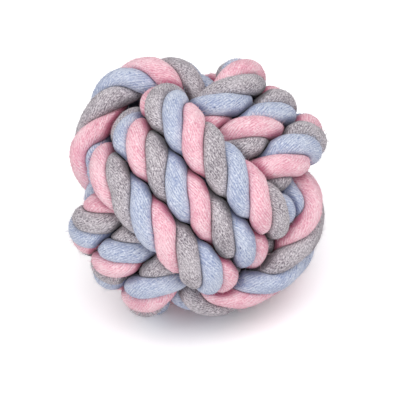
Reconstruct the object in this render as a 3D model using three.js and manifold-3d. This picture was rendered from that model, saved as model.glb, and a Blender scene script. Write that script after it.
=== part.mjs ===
// Rope ball dog toy: a monkey's fist knot tied in one length of three-strand laid cotton rope and drawn
// up round a soft core. The rope is wound in three bands at right angles. Each band lies over one of its
// neighbours and under the other, and the rope's two ends are tucked in under the bands.
// Millimetres, +Z up. The origin is on the floor, under the middle of the ball.
import * as THREE from "three";
import { mergeVertices } from "three/addons/utils/BufferGeometryUtils.js";
import Module from "manifold-3d";

// Driving dimensions
const ropeWidth = 10.7; // across the rope as it lies pressed in the knot
const ropeThickness = 8.2; // through the rope, from the core outwards
const layLength = 25; // rope length in which a strand goes once round, at rest
const crown = 1; // how far a strand's crest swells out of the rope where no other pass lies on it
const strandGap = 0.55; // clearance between the strands of the rope
const passGap = 0.65; // clearance to which the passes of the rope are drawn up
const coreGap = 0.3; // clearance between the core and the passes round it
const coreDiameter = 37;
const turnsPerBand = 3;
const knotTwist = 8; // degrees by which the first two bands are wrung about the front face's axis
const bandSwing = 10; // degrees by which the first band lies askew over its second face
const bandSlip = 9; // how far it has slipped back there
const leanBack = 33; // degrees by which the front face looks up
const leanOver = 4; // degrees by which the ball is rolled on its lower edge
const askew = 9; // degrees by which its lower edge lies off level
const floorCut = 1; // depth of the flats on which the ball stands

// Mesh counts
const seenSteps = 10; // steps of a strand's mesh to a turn of the lay, on the outside of the ball
const hiddenSteps = 7; // and under another band
const routeSteps = 3; // points to a rope width while the knot is drawn up
const placesPerQuarter = 16;
const drawRounds = 500;
const bendReach = 2.4; // rope widths along the rope past which a stretch counts as another pass
const coreRings = 14;

// Sizes that follow
const ropeRadius = (ropeWidth + ropeThickness) / 4; // of the rope before it is pressed flat
const strandRing = 0.57 * ropeRadius; // rope axis to strand axis
const pitch = ropeWidth + passGap;
const crossing = ropeThickness + passGap;
const bandHalf = ((turnsPerBand - 1) / 2) * pitch;
const innerReach = coreDiameter / 2 + coreGap + ropeThickness / 2; // ball centre to a pass on the core
const outerReach = innerReach + crossing; // ball centre to a pass that lies over another band

const axisX = new THREE.Vector3(1, 0, 0);
const axisY = new THREE.Vector3(0, 1, 0);
const axisZ = new THREE.Vector3(0, 0, 1);

// The three bands in the order in which the rope is wound. outer, inner and side are the axes of the faces
// that a band covers, of the faces where it runs under another, and across it. Quarter turns count from
// its first outer face: 0 and 2 are outer faces, 1 and 3 inner ones. way is the way round, face the
// quarter where it starts, step the way in which its turns follow each other, and joined tells which of
// its ends run on into another band. A wrung band turns one way on its outer faces and back again under
// the others, and a slack one lies askew over its second outer face.
// blueLay: for each stretch of the band that shows, its middle in quarter turns, the way from there to a
// crest of the blue strand, and the lay, which the bend of the rope opens or closes, both in lay lengths.
const lastOuter = 4 * (turnsPerBand - 1) + 2;
const bands = [
  {
    outer: axisX,
    inner: axisY,
    side: axisZ,
    way: -1,
    face: 0,
    from: -1,
    to: lastOuter + 0.25,
    step: -1,
    wrung: 1,
    slack: 1,
    joined: [false, true],
    blueLay: [[0, -0.02, 1.2], [2, -0.14, 1.06]],
  },
  {
    outer: axisY,
    inner: axisZ,
    side: axisX,
    way: 1,
    face: 0,
    from: -0.5,
    to: lastOuter + 0.3,
    step: 1,
    wrung: 1,
    slack: 0,
    joined: [true, true],
    blueLay: [
      [0.5, 0.06, 1.16],
      [1.65, 0.2, 0.84],
      [4.5, -0.48, 1.28],
      [5.65, -0.34, 0.9],
      [8.5, -0.4, 1.18],
      [9.65, -0.3, 1.24],
    ],
  },
  {
    outer: axisZ,
    inner: axisX,
    side: axisY,
    way: 1,
    face: 2,
    from: -0.4,
    to: lastOuter + 1,
    step: 1,
    wrung: 0,
    slack: 0,
    joined: [true, false],
    blueLay: [[2, -0.16, 0.96], [6, -0.14, 0.92], [10, 0.24, 0.92]],
  },
];

const strandPieces = [
  { name: "blue_strand", color: "#9fb6cb" },
  { name: "pink_strand", color: "#d9a3a4" },
  { name: "grey_strand", color: "#97918f" },
];

const smooth = (x) => THREE.MathUtils.smoothstep(x, 0, 1);
const rad = THREE.MathUtils.degToRad;

// Sideways place of a turn, in pitches: it moves on by one under the face before each new turn.
function sidewaysPlace(quarters) {
  const moveFrom = 0.05; // share of a turn at which the move starts
  const moveShare = 0.4; // share of a turn that it takes
  const spread = 0.15; // how far the first and last turns lean out
  const middle = (turnsPerBand - 1) / 2;
  const turn = Math.floor((quarters + 2) / 4);
  const within = (quarters + 2) / 4 - turn;
  const place = turn - 1 + smooth((within - moveFrom) / moveShare) - middle;
  return THREE.MathUtils.clamp(place, -middle - spread, middle + spread);
}

// One band's places in the knot: loops that step sideways turn by turn. A loop runs on the outer shell
// across the band that it covers, and comes down to the core before it goes under the other band.
function bandPlaces(band) {
  const comesDown = Math.asin(bandHalf / innerReach);
  const isDown = Math.PI / 2 - Math.asin(bandHalf / outerReach);
  const freeQuarters = 0.4; // over which a band that runs on into another isn't held
  const count = Math.round((band.to - band.from) * placesPerQuarter);
  const places = [];
  for (let i = 0; i <= count; i++) {
    const quarters = THREE.MathUtils.lerp(band.from, band.to, i / count);
    const angle = (band.face + band.way * quarters) * (Math.PI / 2);
    const fromOuter = Math.acos(Math.abs(Math.cos(angle)));
    const height = smooth((isDown - fromOuter) / (isDown - comesDown));
    const reach = THREE.MathUtils.lerp(innerReach, outerReach, height);
    const sideways = band.step * sidewaysPlace(quarters) * pitch;
    const radius = Math.sqrt(reach ** 2 - sideways ** 2);
    const point = new THREE.Vector3()
      .addScaledVector(band.outer, radius * Math.cos(angle))
      .addScaledVector(band.inner, radius * Math.sin(angle))
      .addScaledVector(band.side, sideways);
    const wring = band.wrung * knotTwist * (point.z / outerReach) * (2 * height - 1);
    const slack = band.slack * Math.max(-Math.cos(angle), 0) ** 2;
    point.applyAxisAngle(axisZ, -rad(wring + bandSwing * slack));
    point.z -= bandSlip * slack;
    const fromTurn = Math.min(band.joined[0] ? i : count, band.joined[1] ? count - i : count);
    places.push({ point, band, quarters, hold: smooth(fromTurn / placesPerQuarter / freeQuarters) });
  }
  return places;
}

// Even points along the whole rope, each with the place that it is held to.
function ropePlaces() {
  const places = bands.flatMap(bandPlaces);
  const arcs = arcLengths(places.map((place) => place.point));
  const count = Math.round((arcs.at(-1) / ropeWidth) * routeSteps);
  return Array.from({ length: count + 1 }, (_, i) => {
    const arc = (i / count) * arcs.at(-1);
    const after = Math.max(arcs.findIndex((end) => end >= arc), 1);
    const share = (arc - arcs[after - 1]) / (arcs[after] - arcs[after - 1]);
    const [a, b] = [places[after - 1], places[after]];
    const near = share < 0.5 ? a : b;
    const hold = THREE.MathUtils.lerp(a.hold, b.hold, share);
    return { ...near, hold, point: a.point.clone().lerp(b.point, share) };
  });
}

function arcLengths(points) {
  const arcs = [0];
  for (let i = 1; i < points.length; i++) arcs.push(arcs[i - 1] + points[i].distanceTo(points[i - 1]));
  return arcs;
}

// Draws the knot up: the rope pulls straight, its passes push each other apart and the core holds them out.
// Friction keeps a pass near its place along the rope and across it. The last rounds only settle it.
function drawUp(places) {
  const last = places.length - 1;
  const settleFrom = 0.7 * drawRounds;
  let points = places.map((place) => place.point.clone());
  for (let round = 0; round < drawRounds; round++) {
    const settling = round >= settleFrom;
    const pull = settling ? 0.02 : 0.15;
    const before = points;
    points = before.map((point, i) => {
      if (i === 0 || i === last) return point.clone();
      const middle = before[i - 1].clone().lerp(before[i + 1], 0.5);
      return point.clone().lerp(middle, pull);
    });
    if (!settling) points.forEach((point, i) => holdToPlace(point, places[i]));
    pushApart(points);
    for (const point of points) {
      if (point.length() < innerReach) point.setLength(innerReach);
    }
  }
  return points;
}

function holdToPlace(point, { point: place, band, hold }) {
  const sidewaysHold = 0.1 * hold;
  const placeHold = 0.1 * hold;
  point.addScaledVector(band.side, sidewaysHold * (place.dot(band.side) - point.dot(band.side)));
  const off = place.clone().sub(point);
  const out = point.clone().normalize();
  off.addScaledVector(out, -off.dot(out));
  point.addScaledVector(off, placeHold);
}

// Moves passes that are too close apart, square to both. A point stands for a stretch of the rope.
function pushApart(points) {
  const samePass = Math.ceil(bendReach * routeSteps);
  const step = ropeWidth / routeSteps;
  const stretch = 0.7 * step;
  const frames = ropeFrames(points);
  const pushes = points.map(() => ({ sum: new THREE.Vector3(), count: 0 }));
  for (let i = 0; i < points.length; i++) {
    for (let j = i + samePass; j < points.length; j++) {
      const span = points[i].distanceTo(points[j]);
      if (span > pitch + step) continue;
      const between = points[j].clone().sub(points[i]);
      between.addScaledVector(frames[i].along, -between.dot(frames[i].along));
      between.addScaledVector(frames[j].along, -between.dot(frames[j].along));
      const square = between.length();
      between.normalize();
      const apart = halfRope(frames[i], between) + halfRope(frames[j], between) + passGap;
      const slip = Math.max(Math.sqrt(span ** 2 - square ** 2) - stretch, 0);
      const wanted = Math.sqrt(Math.max(apart ** 2 - slip ** 2, 0));
      if (square >= wanted) continue;
      pushes[i].sum.addScaledVector(between, (square - wanted) / 2);
      pushes[j].sum.addScaledVector(between, (wanted - square) / 2);
      pushes[i].count += 1;
      pushes[j].count += 1;
    }
  }
  pushes.forEach(({ sum, count }, i) => points[i].addScaledVector(sum, count > 1 ? 0.5 : 1));
}

// At each point: along the rope, outwards from the ball, and across.
function ropeFrames(points) {
  const last = points.length - 1;
  return points.map((point, i) => {
    const along = points[Math.min(i + 1, last)].clone().sub(points[Math.max(i - 1, 0)]).normalize();
    const out = point.clone().addScaledVector(along, -point.dot(along)).normalize();
    return { along, out, across: new THREE.Vector3().crossVectors(along, out) };
  });
}

// From the rope's axis to its side, in the given direction.
function halfRope({ out, across, swell = 0 }, direction) {
  const outwards = direction.dot(out);
  const pressed = Math.hypot(outwards * ropeThickness, direction.dot(across) * ropeWidth) / 2;
  return pressed + swell * Math.max(outwards, 0);
}

// Turns of the lay along the rope, counted so that the blue strand crests where the bands show it. Each
// stretch that shows has two marks, and the lay runs evenly from mark to mark.
function layMarks(places, arcs) {
  const seenReach = 1.2 * ropeWidth;
  const marks = [];
  for (const band of bands) {
    for (const [quarters, crestShare, layShare] of band.blueLay) {
      const lay = layShare * layLength;
      const off = (i) => (places[i].band === band ? Math.abs(places[i].quarters - quarters) : Infinity);
      const middle = places.reduce((best, _, i) => (off(i) < off(best) ? i : best), 0);
      const start = arcs[middle] - seenReach;
      const startTurns = -(crestShare * layLength + seenReach) / lay;
      const last = marks.at(-1) ?? { arc: start, turns: startTurns, lay };
      const expected = last.turns + ((start - last.arc) * 2) / (last.lay + lay);
      const turns = startTurns + Math.round(expected - startTurns);
      marks.push({ arc: start, turns, lay });
      marks.push({ arc: start + 2 * seenReach, turns: turns + (2 * seenReach) / lay, lay });
    }
  }
  return marks;
}

function layTurns(marks, arc) {
  const after = marks.findIndex((mark) => mark.arc > arc);
  if (after > 0) {
    const [a, b] = [marks[after - 1], marks[after]];
    return a.turns + ((b.turns - a.turns) * (arc - a.arc)) / (b.arc - a.arc);
  }
  const end = after === 0 ? marks[0] : marks.at(-1);
  return end.turns + (arc - end.arc) / end.lay;
}

// How far the strands' crests swell at each point of the rope: up to what the passes further out leave free.
function strandSwells(points) {
  const samePass = Math.ceil(bendReach * routeSteps);
  const frames = ropeFrames(points);
  const rooms = points.map((point, i) => {
    const free = points.map((other, j) => {
      const between = other.clone().sub(point);
      const span = between.length();
      between.normalize();
      if (Math.abs(i - j) < samePass || between.dot(frames[i].out) < 0) return crown;
      return span - halfRope(frames[i], between) - halfRope(frames[j], between) - 1.2 * passGap;
    });
    return THREE.MathUtils.clamp(Math.min(...free), 0, crown);
  });
  return rooms.map((room, i) => Math.min(room, rooms[i - 1] ?? 0, rooms[i + 1] ?? 0));
}

// The rope's axis as a function of the distance along it: its centre, outwards from the ball, across, the
// turns of the lay so far, how far up it lies from the core (0) to the outside (1), and its swell.
function ropeAxis(places, points) {
  const arcs = arcLengths(points);
  const marks = layMarks(places, arcs);
  const swells = strandSwells(points);
  const curve = new THREE.CatmullRomCurve3(points, false, "centripetal");
  curve.arcLengthDivisions = points.length * 10;
  const length = arcs.at(-1);
  const at = (arc) => {
    const share = THREE.MathUtils.clamp(arc / length, 0, 1);
    const centre = curve.getPointAt(share);
    const along = curve.getTangentAt(share);
    const out = centre.clone().addScaledVector(along, -centre.dot(along)).normalize();
    const across = new THREE.Vector3().crossVectors(along, out);
    const height = smooth((centre.length() - innerReach) / crossing);
    const after = Math.max(arcs.findIndex((end) => end >= share * length), 1);
    const part = (share * length - arcs[after - 1]) / (arcs[after] - arcs[after - 1]);
    const swell = THREE.MathUtils.lerp(swells[after - 1], swells[after], part);
    return { centre, out, across, turns: layTurns(marks, share * length), height, swell };
  };
  return { length, at };
}

// Section of one strand in the rope: a third of the circle, rounded off to the crest, with flat flanks
// against the other two strands.
function strandSection() {
  const third = Math.PI / 3;
  const root = strandGap / 2 / Math.sin(third);
  const flank = 0.68 * ropeRadius;
  const crownHalf = rad(32);
  const shoulder = [root + flank * Math.cos(third), flank * Math.sin(third)];
  const side = [ropeRadius * Math.cos(crownHalf), ropeRadius * Math.sin(crownHalf)];
  const crest = [ropeRadius, 0];
  return [[root, 0], [shoulder[0], -shoulder[1]], [side[0], -side[1]], crest, side, shoulder];
}

// Distances along the rope of a strand's rings: close together where the strand shows.
function ringArcs(axis, margin) {
  const end = axis.length - margin;
  const arcs = [];
  let arc = margin;
  let step = 0;
  while (arc < end - step / 2) {
    arcs.push(arc);
    const here = axis.at(arc);
    const lay = 1 / (axis.at(arc + 1).turns - here.turns);
    step = lay / THREE.MathUtils.lerp(hiddenSteps, seenSteps, here.height);
    arc += step;
  }
  return [...arcs, end];
}

// Lofts the section along the rope, pressed flat with it and swelling out at its crests. Each ring is
// slanted to lie square across its strand.
function strandGeometry(axis, third) {
  const section = strandSection();
  const slope = (2 * Math.PI * strandRing) / layLength;
  const slant = slope / (1 + slope ** 2);
  const margin = slant * ropeRadius;
  const flat = ropeThickness / (2 * ropeRadius);
  const wide = ropeWidth / (2 * ropeRadius);
  const arcs = ringArcs(axis, margin);
  const points = [];
  for (const arc of arcs) {
    for (const [u, v] of section) {
      const { centre, out, across, turns, swell } = axis.at(arc - slant * v);
      const angle = 2 * Math.PI * (turns - third / 3);
      const swollen = swell * Math.max(Math.cos(angle), 0) * (u / ropeRadius) ** 2;
      const outwards = swollen + flat * (u * Math.cos(angle) - v * Math.sin(angle));
      const beside = wide * (u * Math.sin(angle) + v * Math.cos(angle));
      points.push(centre.addScaledVector(out, outwards).addScaledVector(across, beside));
    }
  }
  const faces = strandFaces(arcs.length - 1, section.length);
  return new THREE.BufferGeometry().setFromPoints(points).setIndex(faces);
}

// Faces from ring to ring and over both ends. The two flanks have their diagonals in mirror image, so that
// the flanks of neighbouring strands run side by side.
function strandFaces(steps, sides) {
  const faces = [];
  for (let i = 0; i < steps; i++) {
    for (let side = 0; side < sides; side++) {
      const a = i * sides + side;
      const b = i * sides + ((side + 1) % sides);
      if (side < sides / 2) faces.push(a, b, a + sides, b, b + sides, a + sides);
      else faces.push(a, b, b + sides, a, b + sides, a + sides);
    }
  }
  const end = steps * sides;
  for (let side = 1; side < sides - 1; side++) {
    faces.push(0, side + 1, side, end, end + side, end + side + 1);
  }
  return faces;
}

// Least clearance between two passes of the rope, measured on points along its axis.
function leastPassGap(axis) {
  const spacing = ropeWidth / 10;
  const count = Math.floor(axis.length / spacing);
  const samples = Array.from({ length: count + 1 }, (_, i) => axis.at(i * spacing));
  const samePass = Math.ceil((bendReach * ropeWidth) / spacing);
  let least = Infinity;
  for (let i = 0; i <= count; i++) {
    for (let j = i + samePass; j <= count; j++) {
      const between = samples[j].centre.clone().sub(samples[i].centre);
      const span = between.length();
      if (span > 2 * pitch) continue;
      const reach = halfRope(samples[i], between.normalize()) + halfRope(samples[j], between.negate());
      least = Math.min(least, span - reach);
    }
  }
  return least;
}

function asSolid(geometry) {
  geometry.deleteAttribute("normal");
  geometry.deleteAttribute("uv");
  const merged = mergeVertices(geometry);
  const vertProperties = merged.attributes.position.array;
  const triVerts = new Uint32Array(merged.index.array);
  return new wasm.Manifold(new wasm.Mesh({ numProp: 3, vertProperties, triVerts }));
}

function asGeometry(solid) {
  const { vertProperties, triVerts } = solid.getMesh();
  const geometry = new THREE.BufferGeometry();
  geometry.setAttribute("position", new THREE.BufferAttribute(vertProperties, 3));
  geometry.setIndex(new THREE.BufferAttribute(triVerts, 1));
  return geometry;
}

function addPiece(name, geometry, color) {
  geometry.computeVertexNormals();
  const material = new THREE.MeshStandardMaterial({ color, roughness: 0.95, metalness: 0 });
  const mesh = new THREE.Mesh(geometry, material);
  mesh.name = name;
  ball.add(mesh);
}

const wasm = await Module();
wasm.setup();

const places = ropePlaces();
const axis = ropeAxis(places, drawUp(places));
console.log(`rope length ${axis.length.toFixed(0)} mm`);
console.log(`least gap between passes ${leastPassGap(axis).toFixed(3)} mm`);

// The ball stands on the edge between two faces, with its front face turned to the front.
const stance = new THREE.Quaternion()
  .setFromEuler(new THREE.Euler(rad(90 - leanBack), 0, -rad(45 + askew)))
  .multiply(new THREE.Quaternion().setFromAxisAngle(axisX, rad(leanOver)));
const strands = [0, 1, 2].map((third) => strandGeometry(axis, third).applyQuaternion(stance));
const box = new THREE.Box3();
for (const strand of strands) box.union(new THREE.Box3().setFromBufferAttribute(strand.attributes.position));
const floor = box.min.z + floorCut;
const underFloor = new THREE.BoxGeometry(4 * outerReach, 4 * outerReach, outerReach);
underFloor.translate(0, 0, floor - outerReach / 2);
const middle = box.getCenter(new THREE.Vector3());

const ball = new THREE.Group();
strandPieces.forEach(({ name, color }, third) => {
  const pressed = asSolid(strands[third]).subtract(asSolid(underFloor));
  addPiece(name, asGeometry(pressed).translate(-middle.x, -middle.y, -floor), color);
});
const core = new THREE.SphereGeometry(coreDiameter / 2, 2 * coreRings, coreRings);
addPiece("core", core.translate(-middle.x, -middle.y, -floor), "#d8d0c2");

export default ball;
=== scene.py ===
import math
import bpy
import numpy as np
from mathutils import Matrix, Vector


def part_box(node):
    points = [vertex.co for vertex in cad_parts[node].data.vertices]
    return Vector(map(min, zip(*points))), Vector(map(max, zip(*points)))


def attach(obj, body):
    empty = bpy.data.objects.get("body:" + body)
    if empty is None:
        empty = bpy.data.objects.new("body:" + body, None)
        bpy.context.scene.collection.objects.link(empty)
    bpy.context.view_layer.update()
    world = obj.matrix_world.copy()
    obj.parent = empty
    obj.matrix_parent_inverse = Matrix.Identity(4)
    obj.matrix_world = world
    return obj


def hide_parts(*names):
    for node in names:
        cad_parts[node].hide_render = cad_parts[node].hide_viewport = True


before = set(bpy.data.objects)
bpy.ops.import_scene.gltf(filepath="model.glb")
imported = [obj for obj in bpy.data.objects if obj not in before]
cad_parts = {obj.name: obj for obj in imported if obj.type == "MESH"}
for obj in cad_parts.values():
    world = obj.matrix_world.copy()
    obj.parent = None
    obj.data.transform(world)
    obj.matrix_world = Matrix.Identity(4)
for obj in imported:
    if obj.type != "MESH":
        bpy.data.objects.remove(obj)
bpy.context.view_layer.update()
print("frame loaded:", ", ".join(sorted(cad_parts)))

# The rope as it lies in the knot. Millimetres, in the knot's own frame: z looks out of the front face.
rope = {
    "width": 10.7,  # across the rope, pressed flat
    "thickness": 8.2,  # from the core outwards
    "lay": 25.0,  # rope length in which a strand goes once round
    "passGap": 0.65,  # clearance to which the passes are drawn up
    "coreGap": 0.3,  # and between the core and the passes on it
    "coreDiameter": 37.0,
    "turns": 3,  # turns to a band
    "twist": 8.0,  # degrees by which the first two bands are wrung
    "swing": 10.0,  # degrees by which the first band lies askew over its second face
    "slip": 9.0,  # how far it has slipped back there
    "placesPerQuarter": 16,
    "pointsPerWidth": 3,
    "bendReach": 2.4,  # rope widths past which a stretch is another pass
    "rounds": 500,  # of drawing the knot up
    "leanBack": 33.0,  # degrees by which the front face looks up
    "leanOver": 4.0,  # degrees by which the ball is rolled on its lower edge
    "askew": 9.0,  # degrees by which its lower edge lies off level
}
pitch = rope["width"] + rope["passGap"]
crossing = rope["thickness"] + rope["passGap"]
bandHalf = (rope["turns"] - 1) / 2 * pitch
innerReach = rope["coreDiameter"] / 2 + rope["coreGap"] + rope["thickness"] / 2
outerReach = innerReach + crossing
lastOuter = 4 * (rope["turns"] - 1) + 2

# The three bands in the order in which they are wound. outer, inner and side are axes of the knot's frame:
# of the faces that a band covers, of those where it runs under another, and across it. Quarter turns count
# from its first outer face. way is the way round, face the quarter where it starts, step the way in which
# its turns follow each other, and joined tells which of its ends run on into another band.
# blueLay: for each stretch that shows, its middle in quarter turns, the way from there to a crest of the
# blue strand, and the lay there.
bands = [
    {
        "outer": 0, "inner": 1, "side": 2, "way": -1, "face": 0, "step": -1,
        "from": -1.0, "to": lastOuter + 0.25, "wrung": 1, "askew": 1, "joined": (False, True),
        "blueLay": [(0, -0.5, 30), (2, -3.5, 26.5)],
    },
    {
        "outer": 1, "inner": 2, "side": 0, "way": 1, "face": 0, "step": 1,
        "from": -0.5, "to": lastOuter + 0.3, "wrung": 1, "askew": 0, "joined": (True, True),
        "blueLay": [
            (0.5, 1.5, 29), (1.65, 5, 21), (4.5, -12, 32),
            (5.65, -8.5, 22.5), (8.5, -10, 29.5), (9.65, -7.5, 31),
        ],
    },
    {
        "outer": 2, "inner": 0, "side": 1, "way": 1, "face": 2, "step": 1,
        "from": -0.4, "to": lastOuter + 1.0, "wrung": 0, "askew": 0, "joined": (True, False),
        "blueLay": [(2, -4, 24), (6, -3.5, 23), (10, 6, 23)],
    },
]


def smooth(x):
    x = np.clip(x, 0, 1)
    return x * x * (3 - 2 * x)


def unit(v):
    return v / np.maximum(np.linalg.norm(v, axis=-1, keepdims=True), 1e-12)


def dot(a, b):
    return (a * b).sum(-1, keepdims=True)


def arcLengths(points):
    return np.concatenate([[0], np.cumsum(np.linalg.norm(np.diff(points, axis=0), axis=1))])


# Sideways place of a turn, in pitches: it moves on by one under the face before each new turn
def sidewaysPlace(quarters):
    moveFrom = 0.05  # share of a turn at which the move starts
    moveShare = 0.4  # share of a turn that it takes
    spread = 0.15  # how far the first and last turns lean out
    middle = (rope["turns"] - 1) / 2
    turn = np.floor((quarters + 2) / 4)
    within = (quarters + 2) / 4 - turn
    place = turn - 1 + smooth((within - moveFrom) / moveShare) - middle
    return np.clip(place, -middle - spread, middle + spread)


# Loops over the band that this one covers, down to the core and under the other band
def bandPlaces(band):
    freeQuarters = 0.4  # at a joined end, over which the band's hold on the rope fades
    comesDown = math.asin(bandHalf / innerReach)
    isDown = math.pi / 2 - math.asin(bandHalf / outerReach)
    count = round((band["to"] - band["from"]) * rope["placesPerQuarter"])
    steps = np.arange(count + 1)
    quarters = band["from"] + (band["to"] - band["from"]) * steps / count
    angle = (band["face"] + band["way"] * quarters) * math.pi / 2
    fromOuter = np.arccos(np.minimum(np.abs(np.cos(angle)), 1))
    height = smooth((isDown - fromOuter) / (isDown - comesDown))
    reach = innerReach + (outerReach - innerReach) * height
    sideways = band["step"] * sidewaysPlace(quarters) * pitch
    radius = np.sqrt(reach**2 - sideways**2)
    points = np.zeros((count + 1, 3))
    points[:, band["outer"]] = radius * np.cos(angle)
    points[:, band["inner"]] = radius * np.sin(angle)
    points[:, band["side"]] = sideways
    wring = band["wrung"] * rope["twist"] * points[:, 2] / outerReach * (2 * height - 1)
    askew = band["askew"] * np.maximum(-np.cos(angle), 0) ** 2
    points[:, 2] -= rope["slip"] * askew
    turned = -np.radians(wring + rope["swing"] * askew)
    x, y = points[:, 0].copy(), points[:, 1].copy()
    points[:, 0] = x * np.cos(turned) - y * np.sin(turned)
    points[:, 1] = x * np.sin(turned) + y * np.cos(turned)
    fromStart = steps if band["joined"][0] else np.full(count + 1, count)
    fromEnd = count - steps if band["joined"][1] else np.full(count + 1, count)
    hold = smooth(np.minimum(fromStart, fromEnd) / rope["placesPerQuarter"] / freeQuarters)
    return points, quarters, hold


# Even points along the whole rope, each with its band, its quarter turns and how firmly it is held
def ropePlaces():
    made = [bandPlaces(band) for band in bands]
    points, quarters, hold = (np.concatenate(values) for values in zip(*made))
    which = np.repeat(np.arange(len(bands)), [len(m[0]) for m in made])
    arcs = arcLengths(points)
    count = round(arcs[-1] / rope["width"] * rope["pointsPerWidth"])
    arc = np.arange(count + 1) / count * arcs[-1]
    after = np.clip(np.searchsorted(arcs, arc), 1, len(arcs) - 1)
    share = (arc - arcs[after - 1]) / np.maximum(arcs[after] - arcs[after - 1], 1e-12)
    near = np.where(share < 0.5, after - 1, after)
    mix = share[:, None]
    return {
        "points": points[after - 1] * (1 - mix) + points[after] * mix,
        "hold": (hold[after - 1] * (1 - share) + hold[after] * share)[:, None],
        "quarters": quarters[near],
        "band": which[near],
    }


# At each point: along the rope, outwards from the ball, and across
def ropeFrames(points):
    last = len(points) - 1
    index = np.arange(last + 1)
    along = unit(points[np.minimum(index + 1, last)] - points[np.maximum(index - 1, 0)])
    out = unit(points - along * dot(points, along))
    return along, out, np.cross(along, out)


# From the rope's axis to its skin
def halfRope(out, across, direction):
    return np.hypot(dot(direction, out) * rope["thickness"], dot(direction, across) * rope["width"]) / 2


# Moves passes that are too close apart, square to both
def pushApart(points, pairs):
    step = rope["width"] / rope["pointsPerWidth"]
    stretch = 0.7 * step  # along the rope, for which a point stands
    along, out, across = ropeFrames(points)
    i, j = pairs
    between = points[j] - points[i]
    span = np.sqrt((between**2).sum(1))
    near = span <= pitch + step
    i, j, between, span = i[near], j[near], between[near], span[near, None]
    between = between - along[i] * dot(between, along[i])
    between = between - along[j] * dot(between, along[j])
    square = np.linalg.norm(between, axis=1, keepdims=True)
    between = between / np.maximum(square, 1e-12)
    apart = halfRope(out[i], across[i], between) + halfRope(out[j], across[j], between) + rope["passGap"]
    slip = np.maximum(np.sqrt(np.maximum(span**2 - square**2, 0)) - stretch, 0)
    wanted = np.sqrt(np.maximum(apart**2 - slip**2, 0))
    tight = (square < wanted)[:, 0]
    i, j = i[tight], j[tight]
    push = (between * (wanted - square) / 2)[tight]
    total = np.zeros_like(points)
    np.add.at(total, i, -push)
    np.add.at(total, j, push)
    count = np.bincount(i, minlength=len(points)) + np.bincount(j, minlength=len(points))
    return points + total * np.where(count > 1, 0.5, 1.0)[:, None]


# The rope pulls straight, its passes push each other apart, the core holds them out, and friction keeps
# each pass near its place along the rope and across it. The last rounds only settle it.
def drawUp(places):
    pullWhileTied, pullAtRest = 0.15, 0.02
    grip = 0.1  # of the friction
    settleShare = 0.7  # share of the rounds before it settles
    target, hold = places["points"], places["hold"]
    sides = np.eye(3)[[bands[b]["side"] for b in places["band"]]]
    samePass = math.ceil(rope["bendReach"] * rope["pointsPerWidth"])
    pairs = np.triu_indices(len(target), samePass)
    points = target.copy()
    for step in range(rope["rounds"]):
        settling = step >= settleShare * rope["rounds"]
        pull = pullAtRest if settling else pullWhileTied
        middle = (points[:-2] + points[2:]) / 2
        points[1:-1] += (middle - points[1:-1]) * pull
        if not settling:
            points = points + sides * dot(target - points, sides) * grip * hold
            off = target - points
            out = unit(points)
            points = points + (off - out * dot(off, out)) * grip * hold
        points = pushApart(points, pairs)
        length = np.linalg.norm(points, axis=1, keepdims=True)
        points = points * np.maximum(innerReach / length, 1)
    return points


# Turns of the lay at each arc, counted so that the strands show on each face as they do on the toy
def layTurns(places, arcs, at):
    seenReach = 1.2 * rope["width"]  # half of a stretch that shows
    beyond = 1000  # past both ends of the rope
    marks = []
    for b, band in enumerate(bands):
        for quarters, crest, lay in band["blueLay"]:
            off = np.where(places["band"] == b, np.abs(places["quarters"] - quarters), np.inf)
            start = arcs[int(np.argmin(off))] - seenReach
            turns = -(crest + seenReach) / lay
            lastArc, lastTurns, lastLay = marks[-1] if marks else (start, turns, lay)
            expected = lastTurns + (start - lastArc) * 2 / (lastLay + lay)
            turns += math.floor(expected - turns + 0.5)
            marks += [(start, turns, lay), (start + 2 * seenReach, turns + 2 * seenReach / lay, lay)]
    first, last = marks[0], marks[-1]
    marks.insert(0, (first[0] - beyond, first[1] - beyond / first[2]))
    marks.append((last[0] + beyond, last[1] + beyond / last[2]))
    return np.interp(at, [m[0] for m in marks], [m[1] for m in marks])


# A smooth line through the points, cut into even steps
def evenLine(points, count):
    perSpan = 12
    p = np.concatenate([[2 * points[0] - points[1]], points, [2 * points[-1] - points[-2]]])
    p0, p1, p2, p3 = p[:-3], p[1:-2], p[2:-1], p[3:]
    spans = ((p0, p1), (p1, p2), (p2, p3))
    d0, d1, d2 = (np.sqrt(np.linalg.norm(b - a, axis=1, keepdims=True)) for a, b in spans)
    t1 = ((p1 - p0) / d0 - (p2 - p0) / (d0 + d1) + (p2 - p1) / d1) * d1
    t2 = ((p2 - p1) / d1 - (p3 - p1) / (d1 + d2) + (p3 - p2) / d2) * d1
    t = (np.arange(perSpan) / perSpan)[None, :, None]
    a, b, m, n = p1[:, None], p2[:, None], t1[:, None], t2[:, None]
    fine = a + m * t + (-3 * a + 3 * b - 2 * m - n) * t**2 + (2 * a - 2 * b + m + n) * t**3
    fine = np.concatenate([fine.reshape(-1, 3), points[-1:]])
    arcs = arcLengths(fine)
    at = np.linspace(0, arcs[-1], count + 1)
    return np.stack([np.interp(at, arcs, fine[:, k]) for k in range(3)], 1)


def turnMatrix(axis, degrees):
    return np.array(Matrix.Rotation(math.radians(degrees), 3, axis))


# Seen on its front face the ball is out of round
ballForm = {
    "all": -0.7,  # how far out its outer passes lie all round
    "fade": 4.0,  # depth below the inner passes at which the ball keeps its form
    "lobes": [  # direction and reach in degrees, and how far out the ball lies there
        (166, 14, 3.2), (222, 12, -6.4), (54, 10, -5.0), (127, 11, -3.0), (256, 9, -3.8), (85, 20, -1.2),
        (332, 16, -1.6), (285, 8, 1.4), (105, 8, 1.2),
    ],
}


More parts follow.
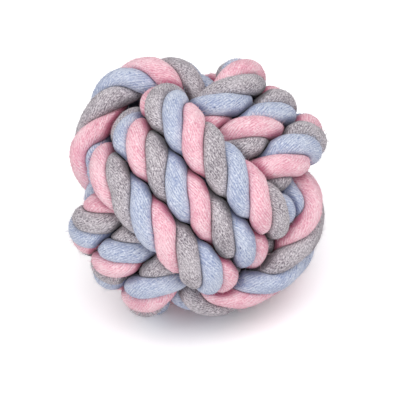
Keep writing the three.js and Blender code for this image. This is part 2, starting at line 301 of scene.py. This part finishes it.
def outOfRound(points):
    innermost = innerReach - ballForm["fade"]
    reach = np.hypot(points[:, 0], points[:, 1])
    direction = np.degrees(np.arctan2(points[:, 1], points[:, 0]))
    off = ballForm["all"] + sum(
        amount * np.exp(-((((direction - middle + 180) % 360 - 180) / width) ** 2))
        for middle, width, amount in ballForm["lobes"]
    )
    weight = smooth((reach - innermost) / (outerReach - innermost))
    moved = points.copy()
    moved[:, :2] *= (1 + off * weight / np.maximum(reach, 1))[:, None]
    return moved


places = ropePlaces()
route = drawUp(places)
routeArcs = arcLengths(route)
print("knot drawn up:", len(route), "points,", round(routeArcs[-1]), "mm of rope")

# The three strands, plump and pressed against each other, against the other passes, the core and the floor
strand = {
    "step": 0.6,  # rope length to a ring of the mesh
    "sides": 34,
    "ring": 0.57,  # rope axis to strand axis, in rope radii
    "high": 3.15,  # from a strand's axis to its crest on the outside of the rope
    "fill": 0.6,  # by how much more it swells towards the next pass, until they meet
    "wide": 3.1,  # from its axis to its sides, before they are pressed
    "ropeHigh": 5.6,  # oval that the whole rope keeps to, from its axis outwards
    "ropeWide": 6.4,  # and across
    "seam": 0.04,  # left between pressed strands of a pass
    "passSeam": 0.4,  # and between passes
    "rounding": 0.6,  # of the edge between crown and pressed side
    "seamRounding": 0.4,  # and beside another strand of its pass
    "endRound": 2.4,  # length of a rounded end
    "endLeast": 0.12,  # share of the girth that is left at its tip
    "stray": 0.12,  # how far a strand wanders off its line
    "lump": 0.09,  # how far it is uneven in girth
    "ovalLump": 0.6,  # share of the lumps that press it oval
    "waves": {"outwards": (10, 9), "beside": (20, 11), "girth": (30, 7), "oval": (40, 4)},  # seed and length
    "grain": 0.035,  # roughness of the yarns, in the mesh
    "grainSeed": 50,
    "grainRoom": 0.5,  # clearance at which the grain is full
    "shadeReach": 0.9,  # how far the painted shade beside any neighbour reaches onto the crown
    "seamShade": 0.45,  # share of the deepest painted shade that a seam between strands of a pass has
    "passShadeReach": 2.4,  # reach of the deeper painted shade beside another pass
    "stripes": 11,  # strips in which a strand is laid out for its texture
    "stripEnd": 0.004,  # margins at a strip's ends and sides, in its own lengths and widths
    "stripSide": 0.03,
}
coreLow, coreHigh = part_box("core")
ballCentre = np.array((coreLow + coreHigh) / 2) * 1000
leanBack, leanOver = turnMatrix("X", 90 - rope["leanBack"]), turnMatrix("X", rope["leanOver"])
stance = leanBack @ turnMatrix("Z", -45 - rope["askew"]) @ leanOver
rings = round(routeArcs[-1] / strand["step"])
axisLine = outOfRound(evenLine(route, rings))
along, out, across = ropeFrames(axisLine)
layTurn = layTurns(places, routeArcs, np.linspace(0, routeArcs[-1], rings + 1))
ropeRadius = (rope["width"] + rope["thickness"]) / 4
flat, broad = rope["thickness"] / 2 / ropeRadius, rope["width"] / 2 / ropeRadius
far = 99.0  # length of a ray that meets nothing
grazing = 1e-3  # share of a ray's length by which it has to near a thing to meet it


# A slow random wave along a strand, the same at every run
def wander(wave, third):
    seed, length = strand["waves"][wave]
    draw = np.random.default_rng(seed + third)
    knots = max(int((rings + 1) * strand["step"] / length), 4)
    values = draw.normal(size=knots + 4)
    at = np.linspace(0, knots, rings + 1)
    low = np.floor(at).astype(int)
    part = smooth(at - low)
    return values[low] * (1 - part) + values[low + 1] * part


def layAngle(third):
    return 2 * math.pi * (layTurn - third / 3)


def strandLine(third):
    ringSize = strand["ring"] * ropeRadius
    outwards = flat * ringSize * np.cos(layAngle(third)) + strand["stray"] * wander("outwards", third)
    beside = broad * ringSize * np.sin(layAngle(third)) + strand["stray"] * wander("beside", third)
    centre = axisLine + out * outwards[:, None] + across * beside[:, None]
    return centre @ stance.T + ballCentre


ropeLine = axisLine @ stance.T + ballCentre
strandLines = [strandLine(third) for third in range(3)]
allCentres = np.concatenate(strandLines)
allThirds = np.repeat(np.arange(3), rings + 1)
allSteps = np.tile(np.arange(rings + 1), 3)


# Length of rays that near a thing at a given rate, until they meet it
def rayRoom(distance, nearing):
    return np.where(nearing > grazing, distance / np.maximum(nearing, grazing), far)


# How far each ray from a strand's axis may go before it meets the middle between it and the other strands
# of its pass, and between it and the other passes
def roomAround(third, directions):
    centres = strandLines[third]
    slack = 0.5
    reach = 2 * strand["wide"] + slack
    ownStretch = 0.5 * rope["lay"] / strand["step"]  # half a lay, in rings
    block = 48  # rings worked out at a time
    ropeRoom, passRoom = np.full((2, *directions.shape[:2]), far)
    for start in range(0, rings + 1, block):
        part = slice(start, min(start + block, rings + 1))
        own = centres[part]
        middle = own.mean(0)
        spread = np.linalg.norm(own - middle, axis=1).max()
        close = np.linalg.norm(allCentres - middle, axis=1) < spread + reach
        steps = np.arange(part.start, part.stop)
        offset = allCentres[close][None] - own[:, None]
        distance = np.linalg.norm(offset, axis=2)
        samePass = np.abs(allSteps[close][None] - steps[:, None]) < ownStretch
        itself = samePass & (allThirds[close][None] == third)
        half = distance * (distance - np.where(samePass, strand["seam"], strand["passSeam"])) / 2
        facing = np.einsum("ikd,ibd->ibk", offset, directions[part])
        limit = np.where(itself[:, None], far, rayRoom(half[:, None], facing))
        ropeRoom[part] = np.where(samePass[:, None], limit, far).min(2)
        passRoom[part] = np.where(samePass[:, None], far, limit).min(2)
    return ropeRoom, passRoom


# How far each ray from a strand's axis may go before it leaves the rope's oval
def ovalRoom(third, directions):
    normals = [out @ stance.T / strand["ropeHigh"], across @ stance.T / strand["ropeWide"]]
    fromAxis = strandLines[third] - ropeLine
    a, b, c = 0, 0, -1
    for normal in normals:
        here = (fromAxis * normal).sum(1)[:, None]
        ray = np.einsum("id,ibd->ib", normal, directions)
        a, b, c = a + ray**2, b + 2 * here * ray, c + here**2
    return (-b + np.sqrt(np.maximum(b**2 - 4 * a * c, 0))) / (2 * a)


# And before it meets the core
def coreRoom(third, directions):
    fromCore = strandLines[third] - ballCentre
    inwards = -(directions * unit(fromCore)[:, None]).sum(2)
    depth = np.linalg.norm(fromCore, axis=1)[:, None] - rope["coreDiameter"] / 2
    return rayRoom(depth, inwards)


# The lesser of two lengths, rounded where they cross
def softLeast(a, b, blend):
    h = np.clip(0.5 + 0.5 * (b - a) / blend, 0, 1)
    return b + (a - b) * h - blend * h * (1 - h)


# Rays from a strand's axis, in a ring at each step
def strandRays(third, around):
    centres = strandLines[third]
    forward = unit(np.gradient(centres, axis=0))
    normal = centres - ropeLine
    normal = unit(normal - forward * dot(normal, forward))
    beside = np.cross(forward, normal)
    cosine, sine = np.cos(around)[None, :, None], np.sin(around)[None, :, None]
    return normal[:, None] * cosine + beside[:, None] * sine


# Points of a strand's skin, the rays to them, and how deep in a crease each lies, which sets the painted
# shade there
def pressedStrand(third):
    sides = strand["sides"]
    centres = strandLines[third]
    around = math.pi + 2 * math.pi * np.arange(sides) / sides  # starts on the hidden inner side
    directions = strandRays(third, around)
    high = strand["high"] + strand["fill"] * np.sin(layAngle(third))[:, None] ** 2
    free = 1 / np.hypot(np.cos(around) / high, np.sin(around) / strand["wide"])
    oval = wander("oval", third)[:, None] * np.cos(2 * around)
    free = free + strand["lump"] * (wander("girth", third)[:, None] + strand["ovalLump"] * oval)
    ropeRoom, passRoom = roomAround(third, directions)
    onCore = coreRoom(third, directions)
    onFloor = rayRoom(centres[:, None, 2], -directions[:, :, 2])
    room = np.minimum(np.minimum(ropeRoom, passRoom), onCore)
    radius = softLeast(free, ovalRoom(third, directions), strand["rounding"])
    radius = softLeast(radius, ropeRoom, strand["seamRounding"])
    radius = np.minimum(softLeast(radius, passRoom, strand["rounding"]), onCore)
    draw = np.random.default_rng(strand["grainSeed"] + third)
    grain = draw.normal(size=radius.shape) * strand["grain"]
    grain[1:-1] = (grain[:-2] + 2 * grain[1:-1] + grain[2:]) / 3
    radius = radius + grain * np.clip((room - radius) / strand["grainRoom"], 0, 1)
    fromEnd = np.minimum(np.arange(rings + 1), rings - np.arange(rings + 1)) * strand["step"]
    dome = np.sqrt(1 - (1 - np.clip(fromEnd / strand["endRound"], 0, 1)) ** 2)
    radius = np.minimum(radius * np.maximum(dome, strand["endLeast"])[:, None], onFloor)
    # painted shade: full towards the other passes, and a share of it towards any neighbour
    creaseShade = 1 - np.clip((passRoom - radius) / strand["passShadeReach"], 0, 1)
    seam = 1 - np.clip((room - radius) / strand["shadeReach"], 0, 1)
    creaseShade = np.maximum(creaseShade, strand["seamShade"] * seam)
    return centres[:, None] + directions * radius[:, :, None], directions, creaseShade


# Loose fibres, which stand off the bare crowns
hair = {
    "length": 0.8,  # on average
    "shortest": 0.4,  # in average lengths
    "longest": 3.0,
    "width": 0.11,
    "root": 0.1,  # depth to which a fibre goes in
    "away": 0.7,  # how far it stands off, in its lengths
    "sweep": 0.65,  # and how far it lies over
    "seed": 60,
    # fibres stand only where the painted crease shade is below this
    "mostCreaseShade": 0.2,
    "leastOutwards": 0.4,
    "leastHeight": 3.0,  # above the floor
}


# Thin closed hairs, and for each of their faces the point on the strand where the hair is rooted
def looseFibres(count, third, points, directions, creaseShade):
    draw = np.random.default_rng(hair["seed"] + third)
    outwards = (directions * unit(points - ballCentre)).sum(2)
    bare = (creaseShade < hair["mostCreaseShade"]) & (outwards > hair["leastOutwards"])
    bare = np.flatnonzero(bare & (points[:, :, 2] > hair["leastHeight"]))
    root = draw.choice(bare, count, replace=False)
    start, away = points.reshape(-1, 3)[root], directions.reshape(-1, 3)[root]
    sweep = unit(np.cross(away, draw.normal(size=(count, 3))))
    length = hair["length"] * np.clip(draw.exponential(size=(count, 1)), hair["shortest"], hair["longest"])
    tip = start + (hair["away"] * away + hair["sweep"] * sweep) * length
    square = unit(np.cross(away, sweep))
    corners = []
    for turn in range(3):
        a = 2 * math.pi * turn / 3
        aside = (sweep * math.cos(a) + square * math.sin(a)) * hair["width"] / 2
        corners.append(start - hair["root"] * away + aside)
    made = np.stack(corners + [tip], 1).reshape(-1, 3)
    faces = np.array([(0, 1, 3), (1, 2, 3), (2, 0, 3), (0, 2, 1)])
    faces = (faces[None] + 4 * np.arange(count)[:, None, None]).reshape(-1, 3)
    return made, faces, np.repeat(root, 4)


def meshOf(name, points, faces, material):
    mesh = bpy.data.meshes.new(name)
    mesh.from_pydata(points.tolist(), [], faces)
    mesh.materials.append(material)
    mesh.shade_smooth()
    piece = bpy.data.objects.new(name, mesh)
    bpy.context.scene.collection.objects.link(piece)
    return piece


# Yarn map: metres along the strand and round it
def yarnMap(third, ring, side):
    length = arcLengths(strandLines[third]) / 1000
    girth = 2 * math.pi * (strand["high"] + strand["wide"]) / 2 / 1000
    return np.stack([length[ring], side / strand["sides"] * girth], 1)


# Texture map: the strand laid out in strips
def textureMap(ring, side, strip, perStrip):
    end, edge = strand["stripEnd"], strand["stripSide"]
    lengthwise = end + (1 - 2 * end) * (ring - strip * perStrip) / perStrip
    crosswise = (strip + edge + (1 - 2 * edge) * side / strand["sides"]) / strand["stripes"]
    return np.stack([lengthwise, crosswise], 1)


def strandPiece(name, third, material, fibres):
    sides = strand["sides"]
    points, directions, creaseShade = pressedStrand(third)
    hairs, hairFaces, roots = looseFibres(fibres, third, points, directions, creaseShade)
    i, j = (index.ravel() for index in np.meshgrid(np.arange(rings), np.arange(sides), indexing="ij"))
    k = (j + 1) % sides
    quads = np.stack([i * sides + j, i * sides + k, (i + 1) * sides + k, (i + 1) * sides + j], 1)
    first, last = (rings + 1) * sides, (rings + 1) * sides + 1
    ends = [(first, (s + 1) % sides, s) for s in range(sides)]
    ends += [(last, rings * sides + s, rings * sides + (s + 1) % sides) for s in range(sides)]
    tips = strandLines[third][[0, -1]]
    points = np.concatenate([points.reshape(-1, 3), tips, hairs]) / 1000
    # painted crease shade for the mesh: full at the tips of the ends, none on the fibres
    creaseShade = np.concatenate([creaseShade.ravel(), np.ones(len(tips)), np.zeros(len(hairs))])
    piece = meshOf(name, points, quads.tolist() + ends + (hairFaces + last + 1).tolist(), material)
    mesh = piece.data
    mesh.attributes.new("creaseShade", "FLOAT", "POINT").data.foreach_set("value", creaseShade.astype(np.float32))
    # the ring, side and strip of every face's corners
    perStrip = math.ceil(rings / strand["stripes"])
    atEnds = np.zeros(len(ends) * 3, int)
    hairRing, hairSide = np.divmod(np.repeat(roots, 3), sides)
    ring = np.concatenate([np.stack([i, i, i + 1, i + 1], 1).ravel(), atEnds, hairRing])
    side = np.concatenate([np.stack([j, j + 1, j + 1, j], 1).ravel(), atEnds, hairSide])
    strip = np.concatenate([np.repeat(i // perStrip, 4), atEnds, np.minimum(hairRing, rings - 1) // perStrip])
    maps = {"yarn": yarnMap(third, ring, side), "OFBake": textureMap(ring, side, strip, perStrip)}
    for title, spots in maps.items():
        mesh.uv_layers.new(name=title).uv.foreach_set("vector", spots.astype(np.float32).ravel())
    mesh.uv_layers.active = mesh.uv_layers["yarn"]
    print(name, "made:", len(mesh.polygons), "faces")
    return piece


def newGroup(name, inputs, outputs):
    group = bpy.data.node_groups.new(name, "ShaderNodeTree")
    for title, kind, value in inputs:
        socket = group.interface.new_socket(title, in_out="INPUT", socket_type=kind)
        socket.default_value = value
    for title, kind in outputs:
        group.interface.new_socket(title, in_out="OUTPUT", socket_type=kind)
    return group, group.nodes.new("NodeGroupInput"), group.nodes.new("NodeGroupOutput")


def addNode(tree, kind, links, values=None, **settings):
    node = tree.nodes.new(kind)
    for key, value in settings.items():
        setattr(node, key, value)
    for socket, value in (values or {}).items():
        node.inputs[socket].default_value = value
    for socket, source in links.items():
        tree.links.new(source, node.inputs[socket])
    return node


# A maths node on values and other nodes' results
def reckon(tree, operation, *terms):
    links = {n: term for n, term in enumerate(terms) if not isinstance(term, float)}
    values = {n: term for n, term in enumerate(terms) if isinstance(term, float)}
    return addNode(tree, "ShaderNodeMath", links, values, operation=operation).outputs[0]


# Noise drawn out along the yarns: size across and length along in metres, place in the noise, and detail
def yarnNoise(tree, vector, across, length, place, detail):
    slant = 1.7  # of the line on which the places lie
    mapping = addNode(
        tree, "ShaderNodeMapping", {"Vector": vector},
        {"Location": (place, place * slant, 0), "Scale": (1 / length, 1 / across, 1)},
    )
    noise = addNode(
        tree, "ShaderNodeTexNoise", {"Vector": mapping.outputs[0]},
        {"Scale": 1, "Detail": detail, "Roughness": 0.6}, noise_dimensions="2D",
    )
    return noise.outputs["Fac"]


# Wavy lines from yarn to yarn
def yarnWave(tree, vector):
    waveLength = math.pi / 10  # of the texture's waves at scale 1
    drawn = addNode(tree, "ShaderNodeMapping", {"Vector": vector}, {"Scale": (weave["waveDraw"], 1, 1)})
    wave = addNode(
        tree, "ShaderNodeTexWave", {"Vector": drawn.outputs[0]},
        {
            "Scale": waveLength / weave["yarnPitch"],
            "Distortion": 6.0,
            "Detail": 1.0,
            "Detail Scale": 0.6,
        },
        bands_direction="Y",
    )
    return wave.outputs["Fac"]


def ramp(tree, value, low, high):
    limits = {"From Min": low, "From Max": high}
    node = addNode(tree, "ShaderNodeMapRange", {"Value": value}, limits, interpolation_type="SMOOTHSTEP")
    return node.outputs["Result"]


def blendColour(tree, share, a, b):
    node = addNode(tree, "ShaderNodeMix", {}, data_type="RGBA")
    tree.links.new(share, node.inputs["Factor"])
    tree.links.new(a, node.inputs["A"])
    tree.links.new(b, node.inputs["B"])
    return node.outputs["Result"]


# The cotton's weave, in metres. A noise has its size across and along, its place and its detail.
weave = {
    "yarnAngle": -47.0,  # of the yarns to their strand
    "yarnPitch": 0.00049,  # from yarn to yarn
    "streak": (0.00022, 0.0035, 3.1, 1.0),
    "fibre": (0.0002, 0.0007, 7.7, 1.5),
    "tuft": (0.0005, 0.0012, 13.3, 0.0),
    "cloud": (0.004, 0.009, 17.9, 2.0),
    "speck": (0.0006, 0.0009, 23.5, 0.0),
    "waveShare": 0.25,  # of the yarn lines, with the streaks as the rest
    "waveDraw": 0.4,  # by how much the waves are drawn out along the yarn
    "reach": {"Yarn Share": 0.18, "Fibre Share": 0.18, "Tuft Share": 0.25, "Cloud Share": 0.2},
    "fleckFrom": 0.875,  # in the specks, dark flecks at one end and light lint at the other
    "fleckFull": 0.9,
    "lintFrom": 0.2,
    "lintFull": 0.15,
    "lintShare": 0.8,
    # share of the painted crease shade that is laid over the yarn colour
    "paintedShadeShare": 0.85,
    "lineHeight": 0.7,  # of the relief, with the fibres as the rest
    "relief": 0.0004,
    "reliefStrength": 0.8,
}


# Cotton yarns: streaks and fibres along the yarn, flecks of other fibre, and painted shade in the creases
def cottonGroup():
    colours = {
        "Base": (0.5, 0.5, 0.5, 1), "Light Fibre": (0.8, 0.8, 0.8, 1), "Dark Fibre": (0.3, 0.3, 0.3, 1),
        "Painted Shade Tone": (0.2, 0.2, 0.2, 1), "Fleck": (0.2, 0.2, 0.2, 1),
    }
    shares = {
        "Yarn Share": 0.5, "Fibre Share": 0.5, "Tuft Share": 0.2, "Cloud Share": 0.2, "Fleck Share": 0.5,
    }
    group, given, result = newGroup(
        "cottonYarns",
        [("Yarn Map", "NodeSocketVector", (0, 0, 0)), ("Shade Depth", "NodeSocketFloat", 0.0)]
        + [(title, "NodeSocketColor", colour) for title, colour in colours.items()]
        + [(title, "NodeSocketFloat", share) for title, share in shares.items()],
        [("Color", "NodeSocketColor"), ("Height", "NodeSocketFloat")],
    )
    socket = given.outputs
    turn = {"Rotation": (0, 0, math.radians(-weave["yarnAngle"]))}
    along = addNode(group, "ShaderNodeMapping", {"Vector": socket["Yarn Map"]}, turn).outputs[0]
    streak, fibre, tuft, cloud, speck = (
        yarnNoise(group, along, *weave[name]) for name in ("streak", "fibre", "tuft", "cloud", "speck")
    )
    streakShare = reckon(group, "MULTIPLY", streak, 1 - weave["waveShare"])
    line = reckon(group, "MULTIPLY_ADD", yarnWave(group, along), weave["waveShare"], streakShare)
    colour = socket["Base"]
    for noise, (share, reach) in zip((line, fibre, tuft, cloud), weave["reach"].items()):
        for fibreTone, end in (("Light Fibre", 0.5 + reach), ("Dark Fibre", 0.5 - reach)):
            part = reckon(group, "MULTIPLY", ramp(group, noise, 0.5, end), socket[share])
            colour = blendColour(group, part, colour, socket[fibreTone])
    fleck = ramp(group, speck, weave["fleckFrom"], weave["fleckFull"])
    lint = ramp(group, speck, weave["lintFrom"], weave["lintFull"])
    # painted shade, deepest in the creases
    creaseShade = ramp(group, socket["Shade Depth"], 0.0, 1.0)
    for mask, share, title in (
        (fleck, socket["Fleck Share"], "Fleck"),
        (lint, weave["lintShare"], "Light Fibre"),
        (creaseShade, weave["paintedShadeShare"], "Painted Shade Tone"),
    ):
        colour = blendColour(group, reckon(group, "MULTIPLY", mask, share), colour, socket[title])
    fibreHeight = reckon(group, "MULTIPLY", fibre, 1 - weave["lineHeight"])
    height = reckon(group, "MULTIPLY_ADD", line, weave["lineHeight"], fibreHeight)
    group.links.new(colour, result.inputs["Color"])
    group.links.new(height, result.inputs["Height"])
    return group


cotton = cottonGroup()


def cottonMaterial(name, tones):
    material = bpy.data.materials.new(name)
    material.use_nodes = True
    tree = material.node_tree
    shader = tree.nodes["Principled BSDF"]
    placed = addNode(tree, "ShaderNodeUVMap", {}, uv_map="yarn")
    # how deep in a crease each point lies, which sets the painted shade
    creaseShade = addNode(tree, "ShaderNodeAttribute", {}, attribute_name="creaseShade")
    yarns = tree.nodes.new("ShaderNodeGroup")
    yarns.node_tree = cotton
    tree.links.new(placed.outputs["UV"], yarns.inputs["Yarn Map"])
    tree.links.new(creaseShade.outputs["Fac"], yarns.inputs["Shade Depth"])
    for title, value in tones.items():
        yarns.inputs[title].default_value = value
    relief = {"Strength": weave["reliefStrength"], "Distance": weave["relief"]}
    bump = addNode(tree, "ShaderNodeBump", {"Height": yarns.outputs["Height"]}, relief)
    tree.links.new(yarns.outputs["Color"], shader.inputs["Base Color"])
    tree.links.new(bump.outputs["Normal"], shader.inputs["Normal"])
    shader.inputs["Roughness"].default_value = 0.95
    shader.inputs["Specular IOR Level"].default_value = 0.15
    shader.inputs["Sheen Weight"].default_value = 0.25
    shader.inputs["Sheen Roughness"].default_value = 0.5
    return material


# The linear colour of levels that are written for the screen, out of 255
def tone(*levels):
    shares = [level / 255 for level in levels]
    return (*(c / 12.92 if c <= 0.04045 else ((c + 0.055) / 1.055) ** 2.4 for c in shares), 1)


strandTones = {
    "blue_strand": {
        "slot": "blue_cotton",
        "fibres": 5500,
        "tones": {
            "Base": tone(183, 191, 212),
            "Light Fibre": tone(226, 231, 243),
            "Dark Fibre": tone(136, 150, 190),
            # painted shade for the creases
            "Painted Shade Tone": tone(92, 98, 136),
            "Fleck": tone(74, 84, 124),
            "Yarn Share": 0.7, "Fibre Share": 0.65,
            "Tuft Share": 0.15, "Cloud Share": 0.25, "Fleck Share": 0.8,
        },
    },
    "pink_strand": {
        "slot": "pink_cotton",
        "fibres": 5500,
        "tones": {
            "Base": tone(245, 188, 201),
            "Light Fibre": tone(254, 228, 234),
            "Dark Fibre": tone(218, 140, 164),
            # painted shade for the creases
            "Painted Shade Tone": tone(166, 64, 102),
            "Fleck": tone(206, 66, 112),
            "Yarn Share": 0.65, "Fibre Share": 0.6,
            "Tuft Share": 0.12, "Cloud Share": 0.3, "Fleck Share": 0.5,
        },
    },
    "grey_strand": {
        "slot": "grey_cotton",
        "fibres": 5900,
        "tones": {
            "Base": tone(178, 169, 176),
            "Light Fibre": tone(228, 221, 226),
            "Dark Fibre": tone(106, 98, 107),
            # painted shade for the creases
            "Painted Shade Tone": tone(76, 68, 76),
            "Fleck": tone(72, 64, 74),
            "Yarn Share": 0.45, "Fibre Share": 0.85,
            "Tuft Share": 0.12, "Cloud Share": 0.25, "Fleck Share": 0.5,
        },
    },
}
for third, (name, finish) in enumerate(strandTones.items()):
    material = cottonMaterial(finish["slot"], finish["tones"])
    piece = strandPiece(name.replace("_strand", "_yarns"), third, material, finish["fibres"])
    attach(piece, "root")
    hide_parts(name)

# The filling: a ball of wound yarn, which the rope hides
filling = {
    "inset": 0.1,  # how far it stays inside the solid
    "segments": 128,
    "rings": 64,
    "windings": 7,  # ways in which the yarn is wound
    "seed": 5,
    "ridges": 26,  # of yarn, to a half turn
    "ridge": 0.25,  # height of a ridge
    "tones": {
        "Base": tone(216, 208, 194),
        "Light Fibre": tone(236, 230, 220),
        "Dark Fibre": tone(186, 176, 160),
        # painted shade for the grooves between the wound yarns
        "Painted Shade Tone": tone(140, 130, 116),
        "Fleck": tone(150, 138, 120),
        "Yarn Share": 0.5, "Fibre Share": 0.4,
        "Tuft Share": 0.2, "Cloud Share": 0.2, "Fleck Share": 0.3,
    },
}


def fillingPiece():
    bpy.ops.object.select_all(action="DESELECT")
    radius = rope["coreDiameter"] / 2 - filling["inset"]
    bpy.ops.mesh.primitive_uv_sphere_add(
        segments=filling["segments"],
        ring_count=filling["rings"],
        radius=radius / 1000,
        location=ballCentre / 1000,
    )
    piece = bpy.context.object
    bpy.ops.object.transform_apply(location=True, rotation=False, scale=False)
    piece.name = piece.data.name = "wound_filling"
    points = np.array([v.co for v in piece.data.vertices]) * 1000
    direction = unit(points - ballCentre)
    draw = np.random.default_rng(filling["seed"])
    poles = unit(draw.normal(size=(filling["windings"], 3)))
    nearness = np.abs(direction @ poles.T)
    top = np.argmin(nearness, axis=1)  # the winding whose belt lies here
    latitude = np.arcsin(np.clip((direction * poles[top]).sum(1), -1, 1))
    ridge = np.cos(latitude * 2 * filling["ridges"])
    points = ballCentre + direction * (radius - filling["ridge"] * (1 - ridge[:, None]) / 2)
    piece.data.vertices.foreach_set("co", (points / 1000).ravel())
    layer = piece.data.uv_layers.active
    layer.name = "yarn"
    uv = np.zeros(len(piece.data.loops) * 2, np.float32)
    layer.uv.foreach_get("vector", uv)
    uv = uv.reshape(-1, 2) * np.array([2 * math.pi, math.pi]) * radius / 1000
    layer.uv.foreach_set("vector", uv.astype(np.float32).ravel())
    # painted shade in the grooves between the ridges of yarn
    creaseShade = ((1 - ridge) / 2).astype(np.float32)
    piece.data.attributes.new("creaseShade", "FLOAT", "POINT").data.foreach_set("value", creaseShade)
    piece.data.materials.append(cottonMaterial("undyed_cotton", filling["tones"]))
    piece.data.shade_smooth()
    piece.data.update()
    return piece


core = fillingPiece()
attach(core, "root")
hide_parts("core")
print("filling made")

# Floor, light and camera
stage = {
    "floorSide": 12,  # metres
    "floorTone": (0.9, 0.895, 0.9, 1),
    "floorLift": 0.51,  # by how much more of the floor's light the camera sees
    "dome": 0.58,  # even light from all round
    "lamps": [  # place from the ball's middle in metres, side in metres, watts
        ((0.2, -0.5, 0.8), 0.9, 5.1),
        ((-0.6, -0.5, 0.5), 0.8, 2.0),
    ],
    "camera": 1.0,  # metres from the ball's middle
    "sensor": 36,  # millimetres
    "scale": 0.27,  # millimetres to a pixel of the picture
    "picture": 400,  # pixels to its side
    "ballAt": (193, 189),  # pixel of the ball's middle in the picture
}


# 1 for what is looked at straight, in a mirror or through glass
def lookedAt(tree):
    path = addNode(tree, "ShaderNodeLightPath", {}).outputs
    mirrored = reckon(tree, "MAXIMUM", path["Is Camera Ray"], path["Is Glossy Ray"])
    return reckon(tree, "MAXIMUM", mirrored, path["Is Transmission Ray"])


def placeFloor():
    bpy.ops.object.select_all(action="DESELECT")
    bpy.ops.mesh.primitive_plane_add(size=stage["floorSide"], location=(0, 0, 0))
    floor = bpy.context.object
    floor.name = "floor"
    material = bpy.data.materials.new("floor_paper")
    material.use_nodes = True
    tree = material.node_tree
    shader = tree.nodes["Principled BSDF"]
    shader.inputs["Base Color"].default_value = stage["floorTone"]
    shader.inputs["Roughness"].default_value = 1.0
    shader.inputs["Specular IOR Level"].default_value = 0.0
    lifted = reckon(tree, "MULTIPLY", lookedAt(tree), stage["floorLift"])
    lift = addNode(tree, "ShaderNodeBsdfDiffuse", {"Color": lifted})
    both = addNode(tree, "ShaderNodeAddShader", {0: shader.outputs["BSDF"], 1: lift.outputs["BSDF"]})
    tree.links.new(both.outputs["Shader"], tree.nodes["Material Output"].inputs["Surface"])
    floor.data.materials.append(material)


def placeLight():
    world = bpy.data.worlds.new("studio")
    bpy.context.scene.world = world
    world.use_nodes = True
    tree = world.node_tree
    limits = {"To Min": stage["dome"], "To Max": 1.0}
    strength = addNode(tree, "ShaderNodeMapRange", {"Value": lookedAt(tree)}, limits)
    sky = tree.nodes["Background"]
    sky.inputs["Color"].default_value = (1, 1, 1, 1)
    tree.links.new(strength.outputs["Result"], sky.inputs["Strength"])
    middle = Vector(ballCentre / 1000)
    for n, (place, side, watts) in enumerate(stage["lamps"]):
        lamp = bpy.data.lights.new("softbox%d" % n, "AREA")
        lamp.size = side
        lamp.energy = watts
        holder = bpy.data.objects.new(lamp.name, lamp)
        holder.location = middle + Vector(place)
        holder.rotation_euler = (-Vector(place)).to_track_quat("-Z", "Y").to_euler()
        bpy.context.scene.collection.objects.link(holder)


# Looks straight at the ball's front face
def placeCamera():
    lean = math.radians(rope["leanBack"])
    toCamera = Vector((0, -math.cos(lean), math.sin(lean)))
    right = Vector((1, 0, 0))
    up = toCamera.cross(right)
    roll = Matrix.Rotation(math.radians(-rope["askew"]), 3, toCamera)
    right, up = roll @ right, roll @ up
    half = stage["picture"] / 2
    pixel = stage["scale"] / 1000
    toRight, toTop = half - stage["ballAt"][0], half - stage["ballAt"][1]
    aim = Vector(ballCentre / 1000) + right * toRight * pixel - up * toTop * pixel
    lens = bpy.data.cameras.new("camera")
    lens.sensor_width = stage["sensor"]
    lens.lens = stage["sensor"] * stage["camera"] / (stage["picture"] * pixel)
    lens.clip_start = 0.01
    holder = bpy.data.objects.new("camera", lens)
    turn = Matrix((right, up, toCamera)).transposed().to_4x4()
    holder.matrix_world = Matrix.Translation(aim + toCamera * stage["camera"]) @ turn
    bpy.context.scene.collection.objects.link(holder)
    bpy.context.scene.camera = holder


placeFloor()
placeLight()
placeCamera()
bpy.context.scene.view_settings.view_transform = "Standard"
print("stage set")
